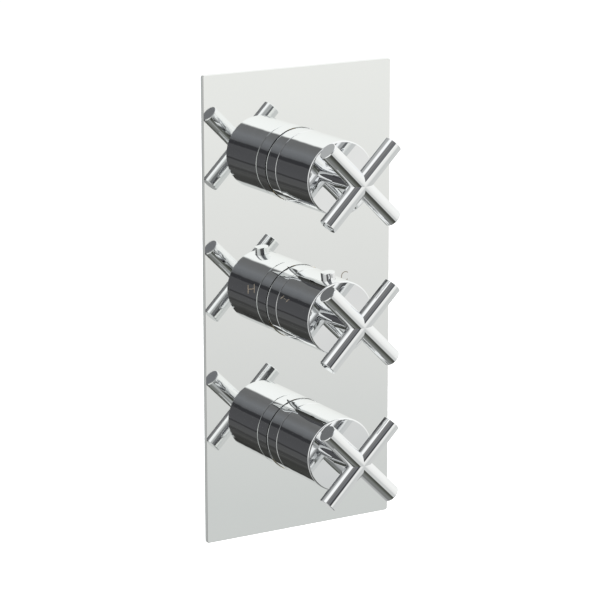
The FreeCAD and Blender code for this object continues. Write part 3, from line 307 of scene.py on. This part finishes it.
# %% [markdown]
# ## Finishes
#
# A finish could be one flat colour and one roughness, but then brass, steel and plastic look like paint. Each
# one here starts from what a maker would say of it: how it was shaped, what that leaves on the skin, and how
# it ages. One pattern usually tells all of it, so the same noise gives the tone, the sheen and the relief.
# All patterns read Object coordinates in metres, so they stay put when a handle turns.


# %% The steps that finishes share
def begin(name):
    """A new material, its sheet and its Object coordinates."""
    material = bpy.data.materials.new(name)
    return material, Sheet(material).node("TexCoord", output=OBJECT)


def noise(place, grains, detail, stretch=None):
    """Cloudy noise from 0 to 1 with so many grains to the metre, more along an axis that is stretched."""
    if stretch is not None:
        place = place.sheet.node("Mapping", None, place, Scale=stretch)
    return place.sheet.node("TexNoise", None, place, Scale=grains, Detail=detail)


def finish(name, colour, roughness, metallic, relief, depth):
    """One Principled surface: wires vary over it, plain numbers are set on its own sockets."""
    sheet = roughness.sheet
    bump = sheet.node("Bump", None, Strength=1.0, Distance=depth, Height=relief)
    surface = sheet.node("BsdfPrincipled", None, Base_Color=colour, Roughness=roughness, Metallic=metallic,
                         Normal=bump)
    sheet.node("OutputMaterial", None, surface)
    print("finish:", name, "with", len(sheet.tree.nodes), "nodes")


def patterned(name, tones, spread, least, depth, metallic=0.0, **pattern):
    """A finish from one noise, which gives its tone, a roughness from least to least + spread, and its relief."""
    material, place = begin(name)
    cloud = noise(place, **pattern)
    finish(name, tint(cloud, *tones), cloud * spread + least, metallic, cloud, depth)
    return material


print("steps for finishes ready")

# %% [markdown]
# ### Chromium
#
# Almost everything in front of the wall is chromium plate, a mirror with a bluish cast. What tells its pieces
# apart is the ripple that making leaves: bars are drawn and polished, sleeves and barrels are turned, and the
# flat plate is rolled, so its ripple is wider and weaker. Dents could be modelled, but they are a fifth of a
# millimetre deep at most, so a bump bends the reflections instead, and a second noise lays a faint haze over
# them.


# %% Chromium plate, polished, turned and rolled
def chromium(name, tones, spread, least, depth, hazes, **ripple):
    """Chrome from two noises: the ripple gives the relief, the haze gives tone and roughness."""
    material, place = begin(name)
    swell = noise(place, detail=1.0, **ripple)
    haze = noise(place, hazes, 4.0)
    finish(name, tint(haze, *tones), haze * spread + least, 1.0, swell, depth)
    return material


BLUISH = ((.915, .925, .935), (.94, .945, .95))
GREENISH = ((.925, .94, .93), (.945, .955, .945))
chrome = chromium("polished_chrome", BLUISH, spread=0.03, least=0.012, depth=0.00002, hazes=90.0, grains=26.0)
turned_chrome = chromium("turned_chrome", BLUISH, spread=0.025, least=0.01, depth=0.00022, hazes=90.0,
                         grains=34.0, stretch=(1.0, 1.6, 1.0))
plate_chrome = chromium("plate_chrome", GREENISH, spread=0.03, least=0.01, depth=0.00003, hazes=30.0,
                        grains=9.0, stretch=(1.0, 1.0, 0.7))

# %% [markdown]
# ### Brass
#
# The casting is the largest hidden piece. Sand leaves fine grains and a few larger dimples, and handling
# darkens it in soft patches. Where a pipe screws in, the bore is threaded. A ridge could be swept along a
# helix, but the casting comes from the CAD model and stays as it is, so a bump follows the helix: its height
# repeats once per pitch along the bore and moves by one pitch per turn. A mask keeps it inside the four
# ports.

# %% Cast brass, with threads in its ports
PITCH_OF_PIPE, RUN_OUT = 0.001814, 0.0004
PORT_RADIUS, PORT_LENGTH = 0.00935, 0.012
AT_THE_WALL, OFF_THE_WALL = 0.0002, 0.0004
INLET_Y, OUTLET_Y = -0.039, -0.033
INLET_END, OUTLET_END = 0.045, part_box("valve_body")[1].z
cast_brass, place = begin("cast_brass")
x, y, z = parts(place)


def size_of(value):
    """A wire without its sign."""
    return value.math("ABSOLUTE", value)


def thread(along, side_one, side_two, end):
    """Ridges round an axis: a triangle wave of the distance along it plus the turn, near the bore's wall."""
    turn = along.math("ARCTAN2", side_one, side_two) / (2 * math.pi)
    wave = along.math("PINGPONG", along / PITCH_OF_PIPE + turn, 0.5) * 2.0
    radius = along.math("SQRT", side_one * side_one + side_two * side_two)
    wall = 1.0 - ease(size_of(radius - PORT_RADIUS), AT_THE_WALL, OFF_THE_WALL)
    reach = size_of(along)
    before_mouth = 1.0 - ease(reach, end - 2 * RUN_OUT, end - RUN_OUT)
    past_start = ease(reach, end - PORT_LENGTH, end - PORT_LENGTH + RUN_OUT)
    cut = wall * (before_mouth * past_start)
    return wave * cut, cut


inlet_thread, inlet_wall = thread(x, y - INLET_Y, z, INLET_END)
outlet_thread, outlet_wall = thread(z, x, y - OUTLET_Y, OUTLET_END)
cut_wall = x.math("MAXIMUM", inlet_wall, outlet_wall)
grain = noise(place, 900.0, 3.0)
dimples = noise(place, 240.0, 2.0)
patches = noise(place, 22.0, 3.0)
sand = (grain * 0.45 + ease(dimples, 0.35, 0.75) * 0.55) * (1.0 - cut_wall)
tone = tint(ease(patches, 0.35, 0.7), (.56, .40, .17), (.66, .49, .23))
tone = tint(ease(grain, 0.2, 0.5), (.40, .28, .12), tone)
tone = tint(cut_wall, tone, (.76, .58, .27))
relief = sand * 0.12 + (inlet_thread + outlet_thread) * 0.9
finish("cast_brass", tone, patches * 0.14 + 0.40 - cut_wall * 0.22, 1.0, relief, 0.0007)

# %% [markdown]
# ### Turned brass, steel and copper
#
# The headworks and the cartridge are turned from bar, and the lathe leaves rings round the y axis. They are
# finer than a hair, so they aren't modelled: a noise is squeezed along y until only rings are left of it. The
# stain is a noise of its own, because tarnish doesn't follow the lathe. Drawn steel has the same rings, only
# finer, and the copper of the wax capsule is stained and nearly smooth.

# %% Turned brass, steel and copper
turned_brass, place = begin("turned_brass")
rings = noise(place, 1.0, 2.0, (40.0, 2600.0, 40.0))
stain = noise(place, 60.0, 3.0)
finish("turned_brass", tint(stain, (.70, .53, .24), (.80, .62, .31)), rings * 0.14 + 0.16, 1.0, rings, 0.00004)

steel = patterned("drawn_steel", ((.54, .55, .56), (.66, .67, .68)), spread=0.16, least=0.18, depth=0.00002,
                  metallic=1.0, grains=1.0, detail=2.0, stretch=(300.0, 1800.0, 300.0))
copper = patterned("copper_capsule", ((.62, .31, .19), (.78, .45, .31)), spread=0.2, least=0.2, depth=0.00002,
                   metallic=1.0, grains=180.0, detail=3.0)

# %% [markdown]
# ### Rubber, foam, ceramic and plastics
#
# None of these is metal, so they show colour by scattering. Rubber is near black with a bloom, foam has open
# cells that dent it, and its tone is painted darker in each dent as shade in the hollows. Lapped ceramic is
# smooth and slightly warm, and moulded plastic has a fine skin. Light that sinks into the pale ones would be
# truer, but they sit in the dark behind the plate, so plain surfaces do.

# %% Soft and moulded finishes
rubber = patterned("black_rubber", ((.018, .018, .019), (.045, .045, .046)), spread=0.2, least=0.5,
                   depth=0.00005, grains=300.0, detail=3.0)
ceramic = patterned("lapped_ceramic", ((.84, .82, .76), (.90, .89, .85)), spread=0.1, least=0.18,
                    depth=0.00001, grains=500.0, detail=2.0)
pale_plastic = patterned("pale_plastic", ((.80, .80, .75), (.86, .86, .82)), spread=0.14, least=0.38,
                         depth=0.00004, grains=1400.0, detail=2.0)
dark_plastic = patterned("dark_plastic", ((.05, .05, .055), (.10, .10, .11)), spread=0.16, least=0.42,
                         depth=0.00005, grains=1200.0, detail=3.0)
foam, place = begin("cell_foam")
cells = place.sheet.node("TexVoronoi", None, place, Scale=1600.0)
# Painted shade: the foam's own near-black tone is painted darker still in each cell's dent, where the relief is
# lowest.
foam_tone_and_hollow_shade = tint(ease(cells, 0.1, 0.7), (.05, .05, .052), (.13, .13, .135))
finish("cell_foam", foam_tone_and_hollow_shade, cells * 0.2 + 0.72, 0.0, cells, 0.00025)

# %% [markdown]
# ## The CAD pieces take their finishes
#
# A finish could be given to each node by name, but with 59 of them one is soon forgotten. The record already
# says which slot each node belongs to, so the finishes go on by slot. Only chrome is split further, by the
# way a piece was made: the plate is rolled, sleeves and barrels are turned, and the rest is polished. The
# surfaces themselves stay as they are.

# %% Finishes onto nodes
finishes = {"chrome": chrome, "cast_brass": cast_brass, "turned_brass": turned_brass, "steel": steel,
            "copper": copper, "rubber": rubber, "foam": foam, "ceramic": ceramic,
            "pale_plastic": pale_plastic, "dark_plastic": dark_plastic}
subparts = frame["record"]["subparts"]
for part in subparts:
    node = cad_nodes[part["node"]]
    material = finishes[part["material_slot"]]
    if material == chrome:
        material = plate_chrome if part["node"] == "face_plate" else material
        material = turned_chrome if part["node"].endswith(("_sleeve", "_barrel")) else material
    node.data.materials.clear()
    node.data.materials.append(material)
print("finishes on", len(subparts), "nodes")

# %% [markdown]
# ## Hot and cold marks
#
# Beside the temperature handle the plate has two small function marks, an H for hot on the left and a C for
# cold on the right. Text could draw them, but it brings a font's own shapes. They are filled engravings, so
# each stroke is a flat ribbon that lies in the plate's face and stands a hair proud. A stroke is a path of
# points: the grid's first parameter runs along the path, the second round the ribbon's four edges.


# %% Marks on the plate
def ribbon(path, width, front, back):
    """A closed flat bar along a path in x and z, as points and quads.

    Each point of the path steps half the width to both sides, at the front and again at the back, which gives
    four rails. Neighbouring rails are joined by quads, and one more quad closes each end.
    """
    path = np.asarray(path, float)
    ahead = np.gradient(path, axis=0)
    ahead /= np.linalg.norm(ahead, axis=1)[:, None]
    side = np.stack([-ahead[:, 1], ahead[:, 0]], 1) * width / 2
    rails = [(path + side, front), (path - side, front), (path - side, back), (path + side, back)]
    rails = [np.insert(rail, 1, depth, axis=1) for rail, depth in rails]
    points = np.stack(rails, 1).reshape(-1, 3)
    i, j = np.meshgrid(np.arange(len(path) - 1) * 4, np.arange(4), indexing="ij")
    after = (j + 1) % 4
    quads = np.stack([i + j, i + after, i + 4 + after, i + 4 + j], -1).reshape(-1, 4)
    return points, np.vstack([quads, [3, 2, 1, 0], np.arange(4) + (len(path) - 1) * 4])


def piece(name, shapes, material, body):
    """Joins closed shapes into one object at the origin, faces outwards, and lets it ride on a body."""
    points, quads = zip(*shapes)
    starts = np.cumsum([0, *map(len, points[:-1])])
    quads = np.concatenate([shape + start for shape, start in zip(quads, starts)])
    mesh = bpy.data.meshes.new(name)
    mesh.from_pydata(np.concatenate(points).tolist(), [], quads.tolist())
    made = bpy.data.objects.new(name, mesh)
    bpy.context.scene.collection.objects.link(made)
    bpy.context.view_layer.objects.active = made
    made.select_set(True)
    bpy.ops.object.mode_set(mode="EDIT")
    bpy.ops.mesh.select_all(action="SELECT")
    bpy.ops.mesh.normals_make_consistent(inside=False)
    bpy.ops.object.mode_set(mode="OBJECT")
    made.select_set(False)
    made.data.materials.append(material)
    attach(made, body)
    print(name, "faces:", len(mesh.polygons))


def straight(start, end, count=4):
    """Points on a straight stroke."""
    return np.linspace(start, end, count)


MARK_HEIGHT, MARK_WIDTH, STROKE = 0.0056, 0.0044, 0.00052
HOT_AT, COLD_AT = (-0.0345, 0.0122), (0.0345, 0.0122)
PROUD, SUNK = 0.00004, 0.0002
BAR_WIDTH, BAR_SHIFT = STROKE * 0.9, 0.000005    # the H's bar lies a hair further out, so no faces coincide
BOW_FROM, BOW_TO, BOW_POINTS = 48, 312, 40       # the C, in degrees from the right

front, back = PLATE_FRONT - PROUD, PLATE_FRONT + SUNK
filler = patterned("mark_filler", ((.23, .19, .145), (.32, .275, .22)), spread=0.2, least=0.45, depth=0.00001,
                   grains=2500.0, detail=2.0)
tall, wide = MARK_HEIGHT / 2, MARK_WIDTH / 2
posts = [straight((HOT_AT[0] + shift, HOT_AT[1] - tall), (HOT_AT[0] + shift, HOT_AT[1] + tall))
         for shift in (-wide, wide)]
bar = straight((HOT_AT[0] - wide, HOT_AT[1]), (HOT_AT[0] + wide, HOT_AT[1]))
hot = [ribbon(post, STROKE, front, back) for post in posts]
hot.append(ribbon(bar, BAR_WIDTH, front - BAR_SHIFT, back - BAR_SHIFT))
turn = np.radians(np.linspace(BOW_FROM, BOW_TO, BOW_POINTS))
bow = np.column_stack([COLD_AT[0] + tall * np.cos(turn), COLD_AT[1] + tall * np.sin(turn)])
piece("hot_mark", hot, filler, "valve")
piece("cold_mark", [ribbon(bow, STROKE, front, back)], filler, "valve")
